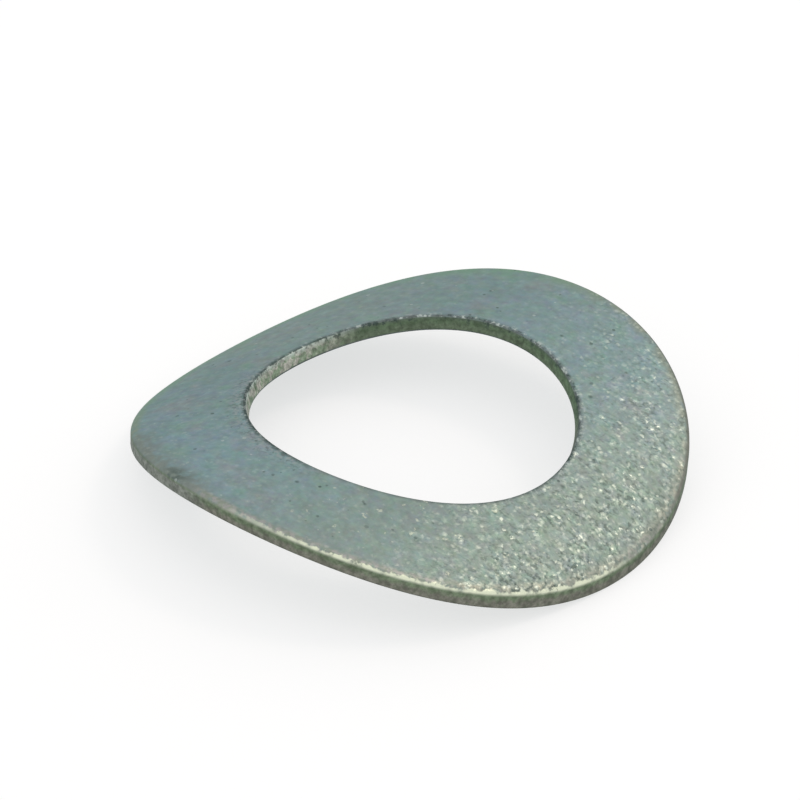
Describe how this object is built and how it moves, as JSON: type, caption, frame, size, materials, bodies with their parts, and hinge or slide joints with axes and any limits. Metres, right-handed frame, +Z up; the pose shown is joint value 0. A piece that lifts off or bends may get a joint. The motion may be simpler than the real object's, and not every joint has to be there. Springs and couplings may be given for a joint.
{
  "type": "curved spring washer",
  "caption": "Curved spring washer: a thin stamped steel ring bent to a shallow arch, zinc plated, with a clearance hole for a bolt.",
  "frame": {"origin": "on the surface that the washer rests on, midway between its two low ends", "axes": "+Z up through the hole, towards the crown side; X along the bend, so the two low ends are at +X and -X; Y along the straight crown line"},
  "size_m": [0.0142, 0.015, 0.0025],
  "materials": {
    "zinc_plate": "tumbled spring steel with a thin passivated zinc plate, satin, blue-green grey with faint yellow and pink tints"
  },
  "bodies": {
    "root": {"curved_washer": "zinc_plate"}
  },
  "joints": []
}
